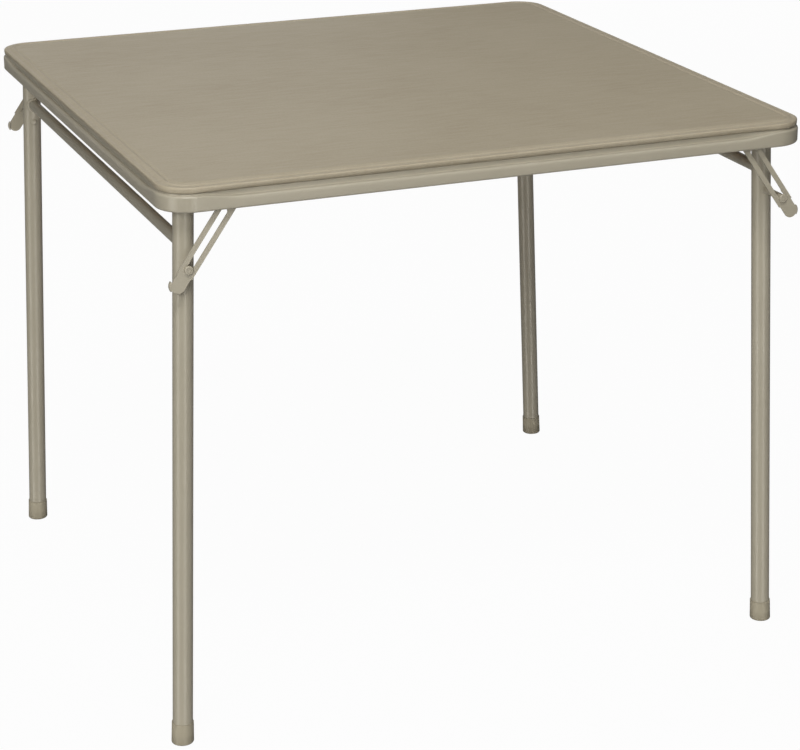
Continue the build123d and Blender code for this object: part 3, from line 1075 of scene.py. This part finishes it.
@dataclass(frozen=True)
class SoftBox:
    """A soft lamp that faces a point of the table, unseen by the camera."""

    name: str
    place: tuple[float, float, float]
    aim: tuple[float, float, float]
    width: float
    height: float
    level: float
    mirrored: bool = True

    def build(self) -> None:
        """Adds the lamp. A level of 1 lights a surface that faces it to the brightness of its own colour."""
        reach = (Vector(self.place) - Vector(self.aim)).length
        data = bpy.data.lights.new(self.name, "AREA")
        data.shape = "RECTANGLE"
        data.size, data.size_y = self.width, self.height
        data.energy = self.level * (math.pi * reach) ** 2
        lamp = bpy.data.objects.new(self.name, data)
        lamp.location = self.place
        lamp.rotation_euler = (Vector(self.aim) - Vector(self.place)).to_track_quat("-Z", "Y").to_euler()
        lamp.visible_camera = False
        lamp.visible_glossy = self.mirrored
        bpy.context.scene.collection.objects.link(lamp)
        LOG.info("lamp %s", self.name)


@dataclass(frozen=True)
class PhotoCamera:
    """The camera at the photograph's place, from a fit of the table's edges, legs and feet."""

    place_mm: tuple[float, float, float] = (-1158.38, -3026.84, 1481.75)
    heading_deg: float = 22.357
    pitch_deg: float = 18.965
    roll_deg: float = 0.105
    focal_px: float = 2418.4
    centre_px: tuple[float, float] = (435.9, 326.6)
    frame_px: tuple[float, float] = (800.0, 750.0)
    sensor_mm: float = 36.0
    far_clip: float = 60.0

    def build(self) -> None:
        """Adds the camera and makes it the scene's."""
        heading, pitch, roll = (math.radians(a) for a in (self.heading_deg, self.pitch_deg, self.roll_deg))
        level_ahead = Vector((math.sin(heading), math.cos(heading), 0))
        ahead = level_ahead * math.cos(pitch) - Vector((0, 0, math.sin(pitch)))
        level = Vector((math.cos(heading), -math.sin(heading), 0))
        rise = level.cross(ahead)
        right = level * math.cos(roll) - rise * math.sin(roll)
        up = right.cross(ahead)
        data = bpy.data.cameras.new("photo_camera")
        data.sensor_width = self.sensor_mm
        data.lens = self.focal_px / self.frame_px[0] * self.sensor_mm
        data.shift_x = (self.frame_px[0] / 2 - self.centre_px[0]) / self.frame_px[0]
        data.shift_y = (self.centre_px[1] - self.frame_px[1] / 2) / self.frame_px[0]
        data.clip_end = self.far_clip
        camera = bpy.data.objects.new("photo_camera", data)
        place = Matrix((right, up, -ahead)).transposed().to_4x4()
        place.translation = Vector(self.place_mm) * MM
        camera.matrix_world = place
        bpy.context.scene.collection.objects.link(camera)
        bpy.context.scene.camera = camera


@dataclass
class Studio:
    """Pale floor, white surroundings and soft lamps.

    Mirrored rays meet dim surroundings with a bright ceiling and two tall strips, which give the tubes
    their long highlights.
    """

    floor_half: float = 9.0
    floor_tone: float = 0.45
    shadow_share: float = 0.03
    ambient: float = 0.12
    mirrored_level: float = 0.15
    strip_level: float = 5.0
    strip_half_deg: float = 8.0
    strip_core_share: float = 0.5
    strip_azimuths_deg: tuple[float, float] = (-70.0, 7.0)
    ceiling_level: float = 2.6
    ceiling_rise: tuple[float, float] = (0.65, 0.85)
    lamps: tuple[SoftBox, ...] = (
        SoftBox("high_box", (-4.9, -6.0, 4.5), (-0.1, -0.1, 0.5), 2.7, 2.2, level=0.38, mirrored=False),
        SoftBox("low_box", (-4.0, -6.5, 0.9), (-0.1, -0.1, 0.4), 2.7, 1.5, level=0.22, mirrored=False),
        SoftBox("overhead_box", (-0.9, -2.4, 4.4), (-0.1, -0.2, 0.7), 1.8, 1.0, level=0.575),
        SoftBox("back_fill", (3.0, 5.5, 0.65), (0.1, 0.1, 0.5), 2.6, 1.0, level=0.26, mirrored=False),
        SoftBox("far_box", (0.3, 2.6, 1.5), (-0.4, -0.3, 0.73), 1.4, 0.9, level=0.03),
        SoftBox("floor_glow", (0.1, 0.1, 0.01), (0.1, 0.1, 0.7), 2.4, 2.4, level=0.9, mirrored=False),
    )

    def build(self) -> None:
        """Builds the floor, the world and the lamps."""
        self._floor()
        self._world()
        for lamp in self.lamps:
            lamp.build()

    def _floor(self) -> None:
        """Adds the floor. The camera sees it white, with a faint shadow.

        It is clear from below, and to mirrored rays, which meet the surroundings instead.
        """
        mesh = bmesh.new()
        bmesh.ops.create_grid(mesh, x_segments=1, y_segments=1, size=self.floor_half)
        data = bpy.data.meshes.new("floor")
        mesh.to_mesh(data)
        mesh.free()
        floor = bpy.data.objects.new("floor", data)
        bpy.context.scene.collection.objects.link(floor)
        material = bpy.data.materials.new("pale_floor")
        material.use_nodes = True
        tree = material.node_tree
        tree.nodes.clear()
        tone = (self.floor_tone, self.floor_tone, self.floor_tone, 1.0)
        matt = add_node(tree, "ShaderNodeBsdfDiffuse", {"Color": tone}).outputs[0]
        white = add_node(tree, "ShaderNodeEmission", {"Color": WHITE, "Strength": 1.0}).outputs[0]
        clear = add_node(tree, "ShaderNodeBsdfTransparent").outputs[0]
        direct, glossy = self._plain_rays(tree)
        share = add_node(
            tree, "ShaderNodeMath", {0: direct, 1: 1.0 - self.shadow_share}, operation="MULTIPLY"
        ).outputs[0]
        mixed = add_node(tree, "ShaderNodeMixShader", {0: share, 1: matt, 2: white}).outputs[0]
        below = add_node(tree, "ShaderNodeNewGeometry").outputs["Backfacing"]
        through = add_node(tree, "ShaderNodeMath", {0: below, 1: glossy}, operation="MAXIMUM").outputs[0]
        lid = add_node(tree, "ShaderNodeMixShader", {0: through, 1: mixed, 2: clear}).outputs[0]
        add_node(tree, "ShaderNodeOutputMaterial", {"Surface": lid})
        data.materials.append(material)

    def _world(self) -> None:
        """Sets white surroundings for the camera, what mirrored rays meet, and a soft ambient light."""
        world = bpy.data.worlds.new("surroundings")
        bpy.context.scene.world = world
        world.use_nodes = True
        tree = world.node_tree
        tree.nodes.clear()
        direct, glossy = self._plain_rays(tree)
        seen = add_node(tree, "ShaderNodeMath", {0: direct, 1: glossy}, operation="MAXIMUM").outputs[0]
        strength = add_node(tree, "ShaderNodeMix", {0: glossy, 2: 1.0, 3: self._mirrored(tree)}).outputs[0]
        ambient, white = (
            add_node(tree, "ShaderNodeBackground", {"Color": WHITE, "Strength": level}).outputs[0]
            for level in (self.ambient, strength)
        )
        mixed = add_node(tree, "ShaderNodeMixShader", {0: seen, 1: ambient, 2: white}).outputs[0]
        add_node(tree, "ShaderNodeOutputWorld", {"Surface": mixed})

    def _plain_rays(self, tree: bpy.types.NodeTree) -> tuple[bpy.types.NodeSocket, bpy.types.NodeSocket]:
        """Adds the marks of the rays that see the surroundings, straight or mirrored.

        Args:
            tree: Node tree that gets them.

        Returns:
            A socket that is 1 for camera and transmission rays, and one that is 1 for glossy rays.
        """
        ray = add_node(tree, "ShaderNodeLightPath").outputs
        straight = {0: ray["Is Camera Ray"], 1: ray["Is Transmission Ray"]}
        direct = add_node(tree, "ShaderNodeMath", straight, operation="MAXIMUM").outputs[0]
        return direct, ray["Is Glossy Ray"]

    def _mirrored(self, tree: bpy.types.NodeTree) -> bpy.types.NodeSocket:
        """Adds the brightness that a mirrored ray meets: dim surroundings, a bright ceiling and two strips.

        Args:
            tree: The world's node tree.

        Returns:
            The brightness, by the ray's heading.
        """
        ahead = add_node(tree, "ShaderNodeTexCoord").outputs["Generated"]
        level = add_node(
            tree, "ShaderNodeVectorMath", {0: ahead, 1: (1.0, 1.0, 0.0)}, operation="MULTIPLY"
        ).outputs[0]
        heading = add_node(tree, "ShaderNodeVectorMath", {0: level}, operation="NORMALIZE").outputs[0]
        rise = add_node(tree, "ShaderNodeSeparateXYZ", {0: ahead}).outputs[2]
        strip_range = tuple(
            math.cos(math.radians(share * self.strip_half_deg)) for share in (1.0, self.strip_core_share)
        )
        panels = [(rise, self.ceiling_rise, self.ceiling_level)]
        for azimuth in self.strip_azimuths_deg:
            angle = math.radians(azimuth)
            towards = (math.sin(angle), -math.cos(angle), 0.0)
            match = add_node(tree, "ShaderNodeVectorMath", {0: heading, 1: towards}, operation="DOT_PRODUCT")
            panels.append((match.outputs["Value"], strip_range, self.strip_level))
        total = None
        for value, ends, strength in panels:
            levels = (self.mirrored_level, strength)
            panel = add_node(
                tree, "ShaderNodeMapRange", {"Value": value, **span("From", ends), **span("To", levels)}
            ).outputs[0]
            if total:
                panel = add_node(tree, "ShaderNodeMath", {0: total, 1: panel}, operation="MAXIMUM").outputs[0]
            total = panel
        return total


def main() -> None:
    """Builds the table's looks, the studio and the camera."""
    logging.basicConfig(level=logging.INFO, format="%(name)s: %(message)s")
    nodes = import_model()["nodes"]
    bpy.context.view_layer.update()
    finishes = Finishes.make()
    for assembly in (PaddedTop(), RimAndFixings(), LegFrames(), LockingBraces()):
        assembly.build(nodes, finishes)
    Studio().build()
    PhotoCamera().build()
    bpy.context.scene.view_settings.view_transform = "Standard"


if __name__ == "__main__":
    main()
